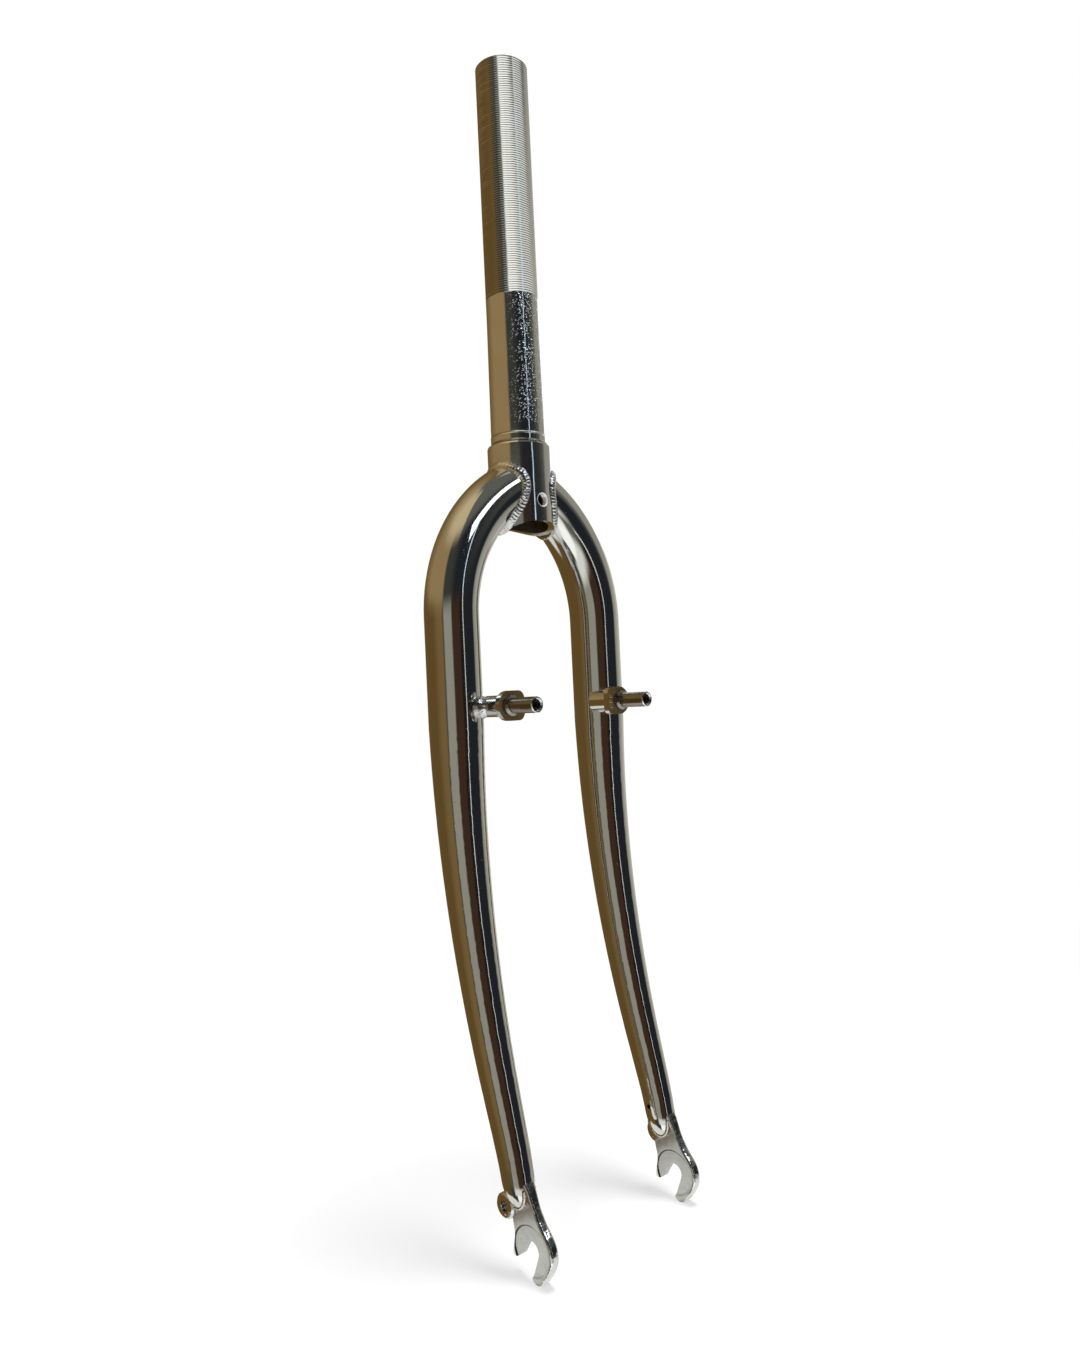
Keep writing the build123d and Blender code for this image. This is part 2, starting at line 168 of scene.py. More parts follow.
class Finish:
    """A node tree under construction."""

    def __init__(self, tree):
        self.tree = tree
        tree.nodes.clear()

    def node(self, kind, settings=None, inputs=None, output=0):
        """New node of a kind: its settings come first, then its inputs as values or links."""
        made = self.tree.nodes.new(kind)
        for name, value in (settings or {}).items():
            if name != "stops":
                setattr(made, name, value)
                continue
            stops = made.color_ramp.elements
            while len(stops) < len(value):
                stops.new(1.0)
            for stop, (position, colour) in zip(stops, value):
                stop.position = position
                stop.color = colour
        for name, value in (inputs or {}).items():
            if isinstance(value, Signal):
                self.tree.links.new(value.socket, made.inputs[name])
            else:
                made.inputs[name].default_value = value
        return Signal(self, made.outputs[output]) if len(made.outputs) else None

    def place(self):
        """Position on the part in millimetres."""
        spot = self.node("ShaderNodeTexCoord", output="Object")
        return self.node("ShaderNodeVectorMath", {"operation": "SCALE"}, {0: spot, "Scale": 1 / MM})

    def outward(self):
        """Direction that the surface faces."""
        return self.node("ShaderNodeNewGeometry", output="Normal")

    def stretched(self, place, x=1.0, y=1.0, z=1.0):
        """Place with each axis scaled, for grain that runs one way."""
        return self.node("ShaderNodeVectorMath", {"operation": "MULTIPLY"}, {0: place, 1: (x, y, z)})

    def axis(self, place, name):
        return self.node("ShaderNodeSeparateXYZ", inputs={0: place}, output=name)

    def grain(self, place, scale, detail=2.0):
        """Soft noise from 0 to 1, with the scale in cells per millimetre."""
        return self.node("ShaderNodeTexNoise", inputs={"Vector": place, "Scale": scale, "Detail": detail})

    def lines(self, along, scale):
        """Noise that changes along one distance only."""
        return self.node("ShaderNodeTexNoise", {"noise_dimensions": "1D"}, {"W": along, "Scale": scale})

    def cells(self, place, scale):
        """Distance to the nearest of many scattered points."""
        return self.node("ShaderNodeTexVoronoi", inputs={"Vector": place, "Scale": scale})

    def blend(self, share, first, second):
        """Colour that goes from the first to the second as the share goes from 0 to 1."""
        return self.node("ShaderNodeMix", {"data_type": "RGBA"}, {0: share, 6: first, 7: second}, 2)

    def dent(self, height, depth, before=None):
        """Surface direction over a height from 0 to 1, as deep as given, on top of an earlier one."""
        inputs = {"Height": height, "Distance": depth * MM, "Strength": 1.0}
        if before:
            inputs["Normal"] = before
        return self.node("ShaderNodeBump", inputs=inputs)

    def metal(self, colour, roughness, normal, metallic=1.0):
        surface = self.node("ShaderNodeBsdfPrincipled", inputs={
            "Base Color": colour, "Roughness": roughness, "Normal": normal, "Metallic": metallic})
        self.node("ShaderNodeOutputMaterial", inputs={"Surface": surface})

    def glow(self, colour, strength):
        light = self.node("ShaderNodeEmission", inputs={"Color": colour, "Strength": strength})
        self.node("ShaderNodeOutputMaterial", inputs={"Surface": light})


def new_finish(name):
    material = bpy.data.materials.new(name)
    material.use_nodes = True
    return material, Finish(material.node_tree)


BRIGHT_PLATE = (0.66, 0.665, 0.67, 1.0)
WARM_PLATE = (0.60, 0.595, 0.58, 1.0)
BARE_STEEL = (0.30, 0.27, 0.23, 1.0)
PIT_BROWN = (0.22, 0.17, 0.12, 1.0)
RIM_PAINTED_SHADE = (0.07, 0.06, 0.05, 1.0)
WORN_EDGE = (0.72, 0.72, 0.70, 1.0)
PALE_SATIN = (0.58, 0.595, 0.565, 1.0)
GREY_SATIN = (0.45, 0.465, 0.44, 1.0)
PAINTED_NECK_SHADE = (0.15, 0.12, 0.075, 1.0)
BOSS_PAINTED_REFLECTION = (0.105, 0.068, 0.024, 1.0)
OIL_AND_HOLE_SHADE = (0.09, 0.06, 0.045, 1.0)
OILY_STEEL = (0.20, 0.17, 0.14, 1.0)


def blade_finish():
    """Polished chrome on drawn tube: faint polishing lines along the blade and a few tiny pits."""
    material, finish = new_finish("polished_blade_chrome")
    place = finish.place()
    cloud = finish.grain(place, 0.03, detail=3.0)
    lines = finish.grain(finish.stretched(place, z=0.04), 1.6, detail=3.0)
    sway = finish.grain(finish.stretched(place, z=0.5), 0.035, detail=1.0)
    pits = finish.cells(place, 0.16).smooth(0.045, 0.02)
    colour = finish.blend(cloud, BRIGHT_PLATE, WARM_PLATE)
    colour = finish.blend(pits * 0.8, colour, PIT_BROWN)
    roughness = 0.035 + lines * 0.035 + cloud * 0.03 + pits * 0.3
    normal = finish.dent(sway, 0.12)
    normal = finish.dent(lines, 0.0016, normal)
    normal = finish.dent(1 - pits, 0.05, normal)
    finish.metal(colour, roughness, normal)
    return material


def steerer_finish():
    """Turned steerer: lathe marks above, pitted plate below, polished crown, dull brown bore."""
    material, finish = new_finish("turned_steerer_chrome")
    place = finish.place()
    height = finish.axis(place, "Z")
    x = finish.axis(place, "X")
    y = finish.axis(place, "Y")
    radius = (x * x + y * y) ** 0.5
    ragged = finish.grain(place, 0.25)
    cloud = finish.grain(place, 0.05, detail=3.0)
    outside = radius.smooth(CROWN_BORE + 0.02, CROWN_BORE + 0.12)
    turned = (height + ragged * 1.2).smooth(TURNED_FROM, TURNED_FROM + 0.6) * outside
    pitted = height.smooth(SWELL_BOTTOM - 1.0, SWELL_BOTTOM + 1.0) * (1 - turned) * outside
    crown = height.smooth(0.2, -0.4) * outside

    # Feed marks of the lathe: flanks that lean down, with a narrow dark crest at each turn
    chatter = finish.grain(finish.stretched(place, z=0.3), 0.22)
    feed = (height / FEED_PITCH + chatter * 0.7).fraction()
    strength = 0.5 + finish.lines(height, 0.3) * 0.7
    crest = feed.smooth(0.6, 0.72) * feed.smooth(1.0, 0.92) * strength
    lean = (FLANK_LEAN - crest * CREST_LEAN) * turned
    down = finish.node("ShaderNodeCombineXYZ", inputs={"Z": 0 - lean})
    flank = finish.node("ShaderNodeVectorMath", {"operation": "ADD"}, {0: finish.outward(), 1: down})
    flank = finish.node("ShaderNodeVectorMath", {"operation": "NORMALIZE"}, {0: flank})

    # Round pits in patches, most of them on the front
    patches = finish.grain(place, 0.12).smooth(0.34, 0.62)
    big_pits = finish.cells(place, 0.5).smooth(0.4, 0.1) * patches
    small_patches = finish.grain(place, 0.4).smooth(0.35, 0.55)
    small_pits = finish.cells(place, 0.8).smooth(0.45, 0.1) * small_patches
    front = (x * 0.4 - y).smooth(3.0, 9.0)
    pitting = (big_pits * 0.3 + small_pits) * (0.12 + 0.88 * front) * pitted

    # Streaks on the crown, a worn edge round the brake hole and two lines on the race seat
    streaks = finish.grain(finish.stretched(place, z=0.05), 0.9, detail=3.0)
    above_hole = height - BRAKE_HOLE_Z
    from_hole = (x * x + above_hole * above_hole) ** 0.5
    worn_mouth = abs(from_hole - WORN_MOUTH).smooth(0.5, 0.3) * outside
    low_line, high_line = [abs(height - line).smooth(0.0, SEAT_LINE_WIDTH) for line in SEAT_LINES]

    plate = finish.blend(cloud, BRIGHT_PLATE, WARM_PLATE)
    plate = finish.blend(pitting * 0.25, plate, PIT_BROWN)
    bare = finish.blend(ragged, BARE_STEEL, PIT_BROWN)
    colour = finish.blend(outside, bare, plate)
    colour = finish.blend(worn_mouth, colour, WORN_EDGE)
    roughness = 0.05 + turned * 0.03 + pitting * 0.12 + streaks * 0.05 + (1 - outside) * 0.26
    normal = finish.dent(1 - pitting, 0.2, flank)
    normal = finish.dent((low_line + high_line) * outside, 0.35, normal)
    normal = finish.dent(streaks * crown, 0.008, normal)
    normal = finish.dent(cloud, 0.15, normal)
    finish.metal(colour, roughness, normal, 1 - worn_mouth * 0.8)
    return material


def dropout_finish():
    """Plate over forged steel: satin on the flat faces and slot walls, bright eyelets and edges."""
    material, finish = new_finish("satin_dropout_chrome")
    place = finish.place()
    forge = finish.grain(place, 0.22, detail=3.0)
    fine = finish.grain(place, 2.2, detail=3.0)
    lump = finish.grain(place, 0.3)
    spots = finish.cells(place, 0.3).smooth(0.1, 0.04)
    facing = finish.axis(finish.outward(), "X")
    forward = AXLE_Y - finish.axis(place, "Y")
    rise = finish.axis(place, "Z") - AXLE_Z
    above_ramp = (rise - RAMP_POINT[1]) * math.cos(RAMP_LEAN)
    above_ramp = above_ramp - (forward - RAMP_POINT[0]) * math.sin(RAMP_LEAN)
    flat = abs(facing).smooth(0.86, 0.985) * (above_ramp + lump * 2.5).smooth(5.5, 2.5)
    flat = flat * (forward + rise * 0.1).smooth(EYELET_EDGE, EYELET_EDGE + 1.0)
    across_slot = forward * math.cos(SLOT_LEAN) - rise * math.sin(SLOT_LEAN)
    slot_wall = abs(across_slot).smooth(SLOT_WALL, SLOT_WALL - 0.4)
    slot_wall = slot_wall * rise.smooth(SLOT_TOP, SLOT_TOP - 1.5)
    slot_wall = slot_wall * rise.smooth(SLOT_BOTTOM, SLOT_BOTTOM + 1.5)
    flat = flat.larger(slot_wall)

    # Brush strokes that circle the axle, and a painted shade line, dark, on the upper rim of the axle's seat
    spread = (forward * forward + rise * rise) ** 0.5
    swirl = finish.lines(spread, 1.4)
    upper = (rise - forward).smooth(-9.0, 4.0)
    rim = spread.smooth(RECESS_FLOOR_RADIUS - 0.1, RECESS_FLOOR_RADIUS + 0.2)
    rim = rim * spread.smooth(RECESS_RIM_RADIUS + 0.1, RECESS_RIM_RADIUS - 0.2) * upper
    lower_seat = spread.smooth(RECESS_RIM_RADIUS + 0.4, RECESS_RIM_RADIUS + 0.2)
    lower_seat = lower_seat * (1 - upper) * rise.smooth(-15.0, -12.0)
    flat = flat.larger(lower_seat)

    satin = finish.blend(forge, PALE_SATIN, GREY_SATIN)
    # Painted brown shade and reflection: the satin turns brown above the ramp line on the neck
    satin = finish.blend((above_ramp + lump * 3.0).smooth(-4.0, 4.0) * 0.85, satin, PAINTED_NECK_SHADE)
    colour = finish.blend(flat, BRIGHT_PLATE, satin)
    # Painted shade: a dark line along the upper rim of the axle's seat
    colour = finish.blend(rim, colour, RIM_PAINTED_SHADE)
    colour = finish.blend(spots * 0.5, colour, PIT_BROWN)
    roughness = 0.09 + forge * 0.05 + flat * (0.26 + swirl * 0.1) + spots * 0.2
    normal = finish.dent(lump, 0.4)
    normal = finish.dent(swirl * flat, 0.012, normal)
    normal = finish.dent(fine, 0.004, normal)
    finish.metal(colour, roughness, normal, 1 - flat * 0.6)
    return material


def boss_finish():
    """Turned brake boss: fine rings round the post, painted brown reflection and a few handling marks."""
    material, finish = new_finish("turned_boss_chrome")
    place = finish.place()
    depth = finish.axis(place, "Y")
    rings = finish.lines(depth, 3.2)
    cloud = finish.grain(place, 0.12, detail=3.0)
    marks = finish.grain(finish.stretched(place, y=0.15), 2.0)
    colour = finish.blend(cloud, BRIGHT_PLATE, WARM_PLATE)
    colour = finish.blend(marks.smooth(0.66, 0.8) * 0.5, colour, PIT_BROWN)

    # Painted brown reflection on the flange's front and along the post, short of its bright end
    front = (0 - finish.axis(finish.outward(), "Y")).smooth(0.9, 0.98)
    along = 0 - depth
    post = along.smooth(FLANGE_FRONT - 0.3, FLANGE_FRONT + 0.3)
    post = post * along.smooth(POST_END - 0.4, POST_END - 0.8)
    painted_reflection = front * along.smooth(FLANGE_FRONT + 3.0, FLANGE_FRONT + 2.0) + post * 0.75
    colour = finish.blend(painted_reflection * (0.75 + 0.25 * cloud), colour, BOSS_PAINTED_REFLECTION)
    roughness = 0.07 + rings * 0.06 + cloud * 0.05 + painted_reflection * 0.12
    normal = finish.dent(rings, 0.008)
    normal = finish.dent(cloud, 0.06, normal)
    finish.metal(colour, roughness, normal, 1 - front * painted_reflection * 0.7)
    return material


def thread_finish():
    """Bare steel in the threaded holes, dark with old oil and darker still as painted shade of the holes."""
    material, finish = new_finish("oily_thread_steel")
    smear = finish.grain(finish.place(), 1.2, detail=3.0)
    # Oily steel darkened further as painted shade inside the holes
    colour = finish.blend(smear, OIL_AND_HOLE_SHADE, OILY_STEEL)
    finish.metal(colour, 0.28 + smear * 0.2, finish.dent(smear, 0.02))
    return material


def weld_finish():
    """Chrome over weld metal: lumpy, bright, with scattered brown specks."""
    material, finish = new_finish("plated_weld_chrome")
    place = finish.place()
    lumps = finish.grain(place, 0.5, detail=3.0)
    fine = finish.grain(place, 2.5)
    specks = finish.cells(place, 0.7).smooth(0.16, 0.06) * finish.grain(place, 0.3).smooth(0.45, 0.6)
    colour = finish.blend(lumps, BRIGHT_PLATE, WARM_PLATE)
    colour = finish.blend(specks * 0.8, colour, PIT_BROWN)
    roughness = 0.08 + fine * 0.12 + specks * 0.2
    normal = finish.dent(lumps, 0.35)
    normal = finish.dent(fine, 0.03, normal)
    finish.metal(colour, roughness, normal)
    return material


def weave_rings(shape, rings, closed):
    """Faces between rings of points; an open run is capped at both ends."""
    made = [[shape.verts.new(point) for point in ring] for ring in rings]
    count = len(made[0])
    pairs = list(zip(made, made[1:]))
    if closed:
        pairs.append((made[-1], made[0]))
    for first, second in pairs:
        for i in range(count):
            j = (i + 1) % count
            shape.faces.new((first[i], first[j], second[j], second[i]))
    if not closed:
        shape.faces.new(list(reversed(made[0])))
        shape.faces.new(made[-1])


def make_piece(name, rings, closed, material):
    """New smooth-shaded piece woven from rings of points in millimetres."""
    shape = bmesh.new()
    weave_rings(shape, rings, closed)
    bmesh.ops.scale(shape, vec=(MM, MM, MM), verts=shape.verts)
    bmesh.ops.recalc_face_normals(shape, faces=shape.faces)
    mesh = bpy.data.meshes.new(name)
    shape.to_mesh(mesh)
    shape.free()
    for face in mesh.polygons:
        face.use_smooth = True
    piece = bpy.data.objects.new(name, mesh)
    bpy.context.scene.collection.objects.link(piece)
    mesh.materials.append(material)
    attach(piece, "root")
    return piece


# Weld beads: steps across, how far the root lies below the corner and the toes turn in past the surfaces,
# how uneven the legs are over long and short lengths, and how far the ripples drift, bow and sharpen
WELD_SECTIONS = 16
WELD_ROOT = 0.6
TOE_TURN = math.radians(15)
LONG_UNEVEN = 0.1
SHORT_UNEVEN = 0.04
RIPPLE_DRIFT = 0.35
RIPPLE_BOW = 0.5
RIPPLE_POWER = 0.6


def weld_rings(path, normals, legs, ripples, side, throat, pitch, closed):
    """Sections of a rippled fillet in the corner between two surfaces.

    The path runs along the corner. The normals hold each surface's outward direction there, the legs
    how far the weld runs out on the surfaces, the ripples how deep they are, the throat the weld's share
    of its leg at the middle, and the pitch the distance between ripples.
    """
    count = len(path)
    travelled = 0.0
    rings = []
    for i in range(count):
        after = path[(i + 1) % count] if closed or i + 1 < count else path[i]
        before = path[i - 1] if closed or i > 0 else path[i]
        along = (after - before).normalized()
        first, second = normals[i]
        first = (first - along * first.dot(along)).normalized()
        second = (second - along * second.dot(along)).normalized()
        run_first = (second - first * second.dot(first)).normalized()
        run_second = (first - second * first.dot(second)).normalized()
        middle = (run_first + run_second).normalized()
        half = math.acos(max(-1.0, min(1.0, run_first.dot(middle)))) + TOE_TURN
        cross = middle.cross(along).normalized()
        uneven = noise.noise(path[i] * 0.3) * LONG_UNEVEN + noise.noise(path[i] * 1.1) * SHORT_UNEVEN
        leg = legs[i] * (1 + uneven)
        beat = travelled / pitch + RIPPLE_DRIFT * noise.noise(path[i] * 0.25)
        ring = [path[i] - middle * WELD_ROOT]
        for k in range(WELD_SECTIONS + 1):
            across = 2 * k / WELD_SECTIONS - 1
            bow = 1 - across * across
            scallop = abs(math.sin(math.pi * (beat + RIPPLE_BOW * bow))) ** RIPPLE_POWER
            height = leg * (throat + (1 - throat) * (1 - bow)) - ripples[i] * (1 - scallop) * bow ** 0.5
            turn = across * half
            ring.append(path[i] + (middle * math.cos(turn) + cross * math.sin(turn)) * height)
        if side < 0:
            ring = [Vector((-p.x, p.y, p.z)) for p in ring]
        rings.append(ring)
        travelled += (after - path[i]).length
    return rings


# Crown weld: its leg and the two turns round the blade where it is heavier, by how much, and how rippled
CROWN_WELD_STEPS = 420
CROWN_WELD_LEG = CROWN_BEAD - 0.3
LOW_FRONT = math.radians(240)
LOW_SWELL = 0.7
LOW_RIPPLE = 0.45
TOP_FRONT = math.radians(318)
TOP_SWELL = 0.9
TOP_RIPPLE = 0.12

# Boss weld: it stands prouder than the plain bead and thins out at both ends
BOSS_WELD_STEPS = 140
BOSS_WELD_LEG = BOSS_BEAD + 1.3
BOSS_RIPPLE = 0.22


def crown_weld(side):
    """Stacked ripples of weld round the joint of blade and steerer."""
    path = []
    normals = []
    legs = []
    ripples = []
    for i in range(CROWN_WELD_STEPS):
        turn = 2 * math.pi * i / CROWN_WELD_STEPS
        y = BLADE_Y + BLADE_RADIUS * math.sin(turn)
        x = math.sqrt(CROWN_RADIUS ** 2 - y ** 2)
        reach = BEND_RADIUS + BLADE_RADIUS * math.cos(turn)
        z = BEND_BOTTOM + math.sqrt(reach ** 2 - (x - BEND_CENTRE_X) ** 2)
        spot = Vector((x, y, z))
        outward = Vector((x - BEND_CENTRE_X, 0, z - BEND_BOTTOM)).normalized() * BEND_RADIUS
        axis_spot = Vector((BEND_CENTRE_X, BLADE_Y, BEND_BOTTOM)) + outward
        path.append(spot)
        normals.append((Vector((x, y, 0)).normalized(), (spot - axis_spot).normalized()))
        low_front = max(0.0, math.cos(turn - LOW_FRONT))
        top_front = max(0.0, math.cos(turn - TOP_FRONT)) ** 4
        legs.append(CROWN_WELD_LEG + LOW_SWELL * low_front + TOP_SWELL * top_front)
        ripples.append(LOW_RIPPLE * low_front ** 3 + TOP_RIPPLE * top_front)
    return weld_rings(path, normals, legs, ripples, side, throat=0.66, pitch=1.7, closed=True)


def boss_weld(side):
    """Ripples of weld round the joint of brake boss and blade."""
    path = []
    normals = []
    legs = []
    ripples = []
    contact_x = BLADE_X - math.sqrt(BLADE_RADIUS ** 2 - (BOSS_BACK + BLADE_Y) ** 2)
    contact_turn = math.acos((contact_x - BOSS_X) / BOSS_RADIUS)
    for i in range(BOSS_WELD_STEPS):
        share = i / (BOSS_WELD_STEPS - 1)
        turn = contact_turn * (1 - 2 * share)
        x = BOSS_X + BOSS_RADIUS * math.cos(turn)
        y = BLADE_Y - math.sqrt(BLADE_RADIUS ** 2 - (BLADE_X - x) ** 2)
        path.append(Vector((x, y, BOSS_Z + BOSS_RADIUS * math.sin(turn))))
        from_boss = Vector((math.cos(turn), 0, math.sin(turn)))
        from_blade = Vector((x - BLADE_X, y - BLADE_Y, 0)).normalized()
        normals.append((from_boss, from_blade))
        fade = math.sin(math.pi * (0.05 + 0.9 * share)) ** 0.5
        legs.append(BOSS_WELD_LEG * fade)
        ripples.append(BOSS_RIPPLE * fade)
    return weld_rings(path, normals, legs, ripples, side, throat=0.62, pitch=2.0, closed=False)


# Thread ridges: steps a turn, how far the foot lies in the wall, its half width in pitches, the share of
# the length that each end fades over, and the height that is left there
RIDGE_STEPS = 28
RIDGE_FOOT = 0.03
RIDGE_HALF = 0.42
RIDGE_FADE = 1 / 6
RIDGE_LEAST = 0.02

# Where the threads start in their holes, and how far the one in the post runs
POST_THREAD_START = 1.6
POST_THREAD_LENGTH = 14.9
EYELET_THREAD_START = 0.5


def thread_rings(start, direction, radius, length, depth, pitch):
    """Sections of a thread ridge wound inside a hole."""
    direction = Vector(direction)
    first = direction.orthogonal().normalized()
    second = direction.cross(first)
    turns = length / pitch
    steps = int(turns * RIDGE_STEPS)
    rings = []
    for i in range(steps + 1):
        share = i / steps
        turn = 2 * math.pi * turns * share
        out = first * math.cos(turn) + second * math.sin(turn)
        centre = Vector(start) + direction * (length * share)
        crest = depth * min(1.0, share / RIDGE_FADE, (1 - share) / RIDGE_FADE) + RIDGE_LEAST
        foot = centre + out * (radius + RIDGE_FOOT)
        half_width = direction * pitch * RIDGE_HALF
        rings.append([foot - half_width, centre + out * (radius - crest), foot + half_width])
    return rings


def post_thread(side):
    """Thread in the end of a brake post."""
    start = (side * BOSS_X, POST_THREAD_START - POST_END, BOSS_Z)
    return thread_rings(start, (0, 1, 0), THREAD_RADIUS, POST_THREAD_LENGTH, depth=0.3, pitch=1.0)


def eyelet_thread(side):
    """Thread in a dropout's eyelet."""
    start = (side * (EYELET_SPOT[0] + EYELET_THREAD_START), EYELET_SPOT[1], EYELET_SPOT[2])
    length = EYELET_LENGTH - 2 * EYELET_THREAD_START
    return thread_rings(start, (side, 0, 0), EYELET_HOLE_RADIUS, length, depth=0.28, pitch=0.8)


weld_chrome = weld_finish()
dark_painted_thread_steel = thread_finish()
piece_finishes = {
    "steerer_tube": steerer_finish(),
    "blade": blade_finish(),
    "dropout": dropout_finish(),
    "brake_boss": boss_finish(),
    "crown_weld": weld_chrome,
    "boss_weld": weld_chrome,
    "outer_braze": weld_chrome,
    "inner_braze": weld_chrome,
}
for node_name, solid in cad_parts.items():
    piece_name = node_name.replace("left_", "").replace("right_", "")
    solid.data.materials.clear()
    solid.data.materials.append(piece_finishes[piece_name])

for side, word in ((1, "left"), (-1, "right")):
    weld = make_piece(word + "_crown_weld_ripples", crown_weld(side), True, weld_chrome)
    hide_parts(word + "_crown_weld")
    weld = make_piece(word + "_boss_weld_ripples", boss_weld(side), False, weld_chrome)
    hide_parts(word + "_boss_weld")
    make_piece(word + "_post_thread", post_thread(side), False, dark_painted_thread_steel)
    make_piece(word + "_eyelet_thread", eyelet_thread(side), False, dark_painted_thread_steel)

CAMERA_SPOT = Vector((-0.3708, -0.4038, -0.1377))
CAMERA_TURN = math.radians(-43.06)
CAMERA_TILT = math.radians(-1.52)
CAMERA_ROLL = math.radians(-2.71)


def place_camera():
    """Camera at the photograph's place."""
    back = Vector((
        math.sin(CAMERA_TURN) * math.cos(CAMERA_TILT),
        -math.cos(CAMERA_TURN) * math.cos(CAMERA_TILT),
        math.sin(CAMERA_TILT)))
    level = Vector((math.cos(CAMERA_TURN), math.sin(CAMERA_TURN), 0))
    upward = back.cross(level)
    right = level * math.cos(CAMERA_ROLL) + upward * math.sin(CAMERA_ROLL)
    top = upward * math.cos(CAMERA_ROLL) - level * math.sin(CAMERA_ROLL)
    lens = bpy.data.cameras.new("camera")
    lens.sensor_width = 36.0
    lens.lens = 27.0
    lens.shift_x = 0.00132
    lens.shift_y = -0.00162
    lens.clip_start = 0.01
    camera = bpy.data.objects.new("camera", lens)
    camera.matrix_world = Matrix((
        (right.x, top.x, back.x, CAMERA_SPOT.x),
        (right.y, top.y, back.y, CAMERA_SPOT.y),
        (right.z, top.z, back.z, CAMERA_SPOT.z),
        (0, 0, 0, 1)))
    bpy.context.scene.collection.objects.link(camera)
    bpy.context.scene.camera = camera


# Room that shows only in the metal: tan to one side and behind, dark ahead, pale on the other side.
# Tones are as they look in the plate; each belt is (turn in degrees, tone) round the room.
TAN = tint(90, 70, 36)
SAND = tint(108, 88, 53)
WHEAT = tint(136, 115, 78)
STRAW = tint(180, 164, 128)
UMBER = tint(55, 39, 29)
SOOT = tint(26, 21, 17)
INK = tint(29, 32, 36)
SLATE = tint(52, 54, 50)
GREY = tint(86, 88, 81)
SILVER = tint(134, 132, 120)
PALE = tint(168, 166, 156)
PAPER = tint(206, 206, 200)
SNOW = tint(242, 243, 238)
NEAR_FLOOR = (
    (-180, PAPER), (-150, PAPER), (-138, TAN), (-116, TAN), (-106, SLATE), (-61, SLATE), (-56, SNOW),
    (-20, SNOW), (20, PAPER), (180, PAPER))
BELOW = (
    (-180, TAN), (-108, TAN), (-92, SLATE), (-74, SLATE), (-64, PAPER), (-20, PAPER), (-6, GREY), (6, GREY),
    (16, PAPER), (84, PAPER), (96, UMBER), (112, SILVER), (136, TAN), (180, TAN))
EYE_LEVEL = (
    (-180, TAN), (-124, TAN), (-98, SAND), (-80, SAND), (-75, SLATE), (-70, SILVER), (-42, SILVER),
    (-37, UMBER), (-8, UMBER), (-3, SOOT), (12, INK), (58, INK), (66, SILVER), (100, PALE), (130, PALE),
    (138, TAN), (180, TAN))
RAISED = (
    (-180, SAND), (-143, WHEAT), (-78, WHEAT), (-71, SLATE), (-50, SLATE), (-24, INK), (8, INK), (34, SLATE),
    (54, GREY), (62, SILVER), (98, SILVER), (110, PAPER), (132, PAPER), (140, TAN), (180, SAND))
OVERHEAD = (
    (-180, WHEAT), (-113, STRAW), (-48, STRAW), (-42, GREY), (44, GREY), (56, PALE), (74, GREY), (140, TAN),
    (180, WHEAT))

# Lifts in degrees between which each belt takes over from the one below, up from a paper floor
BELTS = (
    (NEAR_FLOOR, -66, -58), (BELOW, -44, -37), (EYE_LEVEL, -30, -16), (RAISED, 5, 17), (OVERHEAD, 40, 58))
ZENITH = GREY
ZENITH_LIFT = (76, 86)

# Share of the light that the plate gives back, which the surround makes up for
PLATE_SHARE = 0.63

# Middle of the surround and its cards, in metres
CROWN_SPOT = Vector((0, 0, -0.06))
SURROUND_RADIUS = 5.0
CARD_DISTANCE = 2.0


def reflections_only(card):
    """Leave a stage piece to be seen in the metal alone."""
    card.visible_camera = False
    card.visible_diffuse = False
    card.visible_transmission = False
    card.visible_volume_scatter = False
    card.visible_shadow = False


def glow_finish(name, colour, strength):
    """Glow for a card in the surround, which isn't a lamp."""
    material, finish = new_finish(name)
    finish.glow(colour, strength)
    material.cycles.emission_sampling = "NONE"
    return material


def room_finish():
    """Belts of tone by the direction from the middle of the room."""
    material, finish = new_finish("studio_surround")
    spot = finish.node("ShaderNodeTexCoord", output="Object")
    spot = finish.node("ShaderNodeVectorMath", {"operation": "NORMALIZE"}, {0: spot})
    x = finish.axis(spot, "X")
    ahead = 0 - finish.axis(spot, "Y")
    z = finish.axis(spot, "Z")
    turn = x.calculate("ARCTAN2", x, ahead) / (2 * math.pi) + 0.5
    lift = z.calculate("ARCSINE", z) * (180 / math.pi)
    colour = PAPER
    for belt, start, full in BELTS:
        stops = [((degrees + 180) / 360, tone) for degrees, tone in belt]
        tones = finish.node("ShaderNodeValToRGB", {"stops": stops}, {0: turn})
        colour = finish.blend(lift.smooth(start, full), colour, tones)
    colour = finish.blend(lift.smooth(*ZENITH_LIFT), colour, ZENITH)
    finish.glow(colour, 1 / PLATE_SHARE)
    material.cycles.emission_sampling = "NONE"
    return material


def add_room():
    """Round room about the crown."""
    shape = bmesh.new()
    bmesh.ops.create_uvsphere(shape, u_segments=64, v_segments=32, radius=SURROUND_RADIUS)
    mesh = bpy.data.meshes.new("studio_surround")
    shape.to_mesh(mesh)
    shape.free()
    room = bpy.data.objects.new("studio_surround", mesh)
    room.location = CROWN_SPOT
    bpy.context.scene.collection.objects.link(room)
    mesh.materials.append(room_finish())
    reflections_only(room)


def stage_card(name, corners, material):
    """Flat stage piece through its corners, in metres."""
    mesh = bpy.data.meshes.new(name)
    mesh.from_pydata(corners, [], [list(range(len(corners)))])
    card = bpy.data.objects.new(name, mesh)
    bpy.context.scene.collection.objects.link(card)
    mesh.materials.append(material)
    return card


